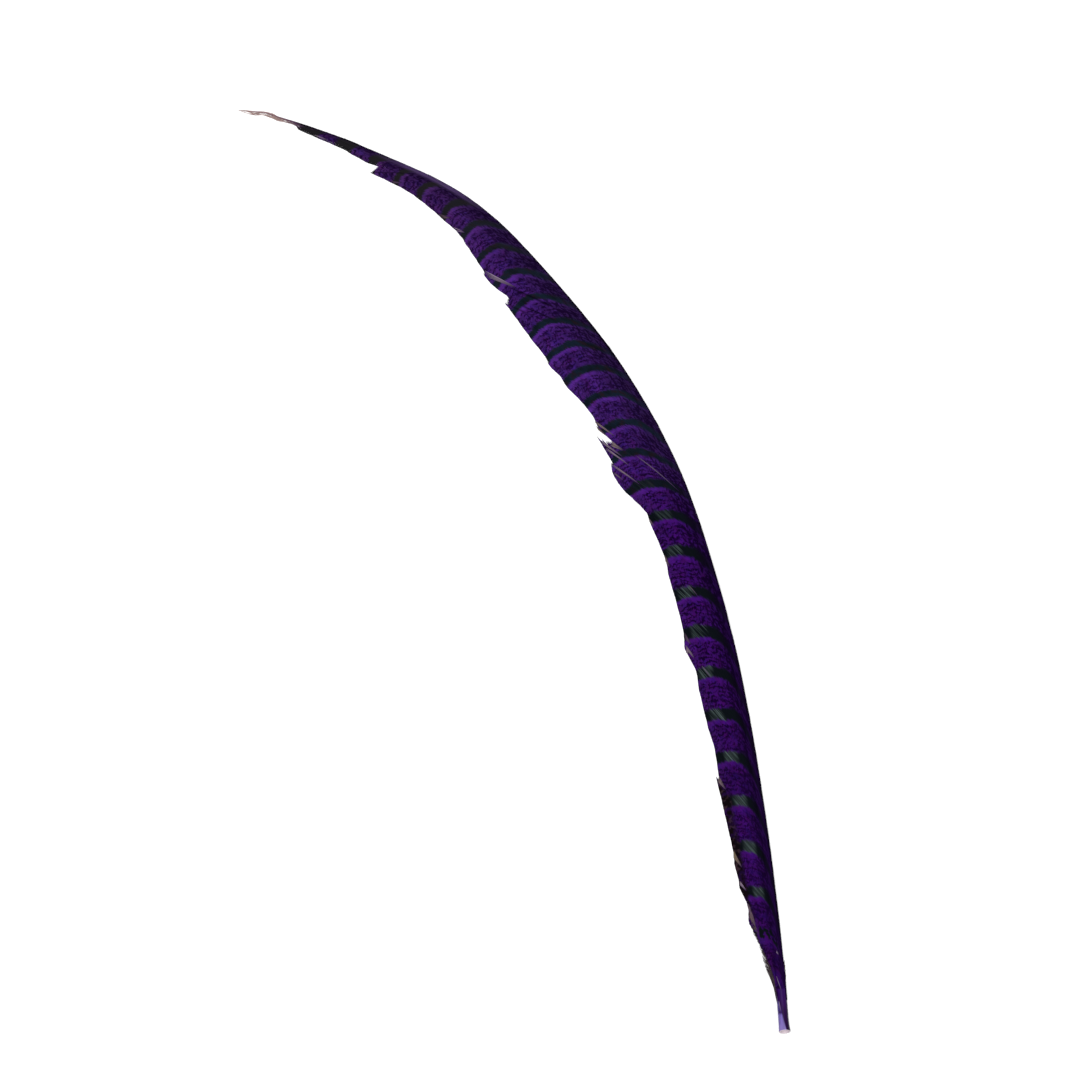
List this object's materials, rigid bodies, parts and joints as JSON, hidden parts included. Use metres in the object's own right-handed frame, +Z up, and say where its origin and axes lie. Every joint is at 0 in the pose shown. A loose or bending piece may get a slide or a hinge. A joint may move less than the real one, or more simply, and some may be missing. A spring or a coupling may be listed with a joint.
{
  "type": "pheasant tail feather",
  "caption": "Long sabre-curved pheasant side tail feather, dyed purple over dark bars, lying flat, with a bare cut quill, a broad parted vane on the inner side and a narrow folded one outside.",
  "frame": {"origin": "centre of the feather's bounding box, on the surface that it lies on", "axes": "+Z up from the surface, on the feather's upper side; +Y from the quill's end towards the tip's end of the curve; +X to the outer side, where the quill lies, with the tip curving towards -X"},
  "size_m": [0.263, 0.4428, 0.0097],
  "materials": {
    "dyed_feather": "barbs dyed purple over their natural brown and black bars, satin, glossier along each barb",
    "quill_keratin": "smooth horny quill and shaft, dyed violet, satin gloss, pale at the cut",
    "undyed_barb": "pale pinkish tan barbs and grey down that took little dye, matte"
  },
  "bodies": {
    "root": {"tail_feather": "dyed_feather"}
  },
  "joints": []
}
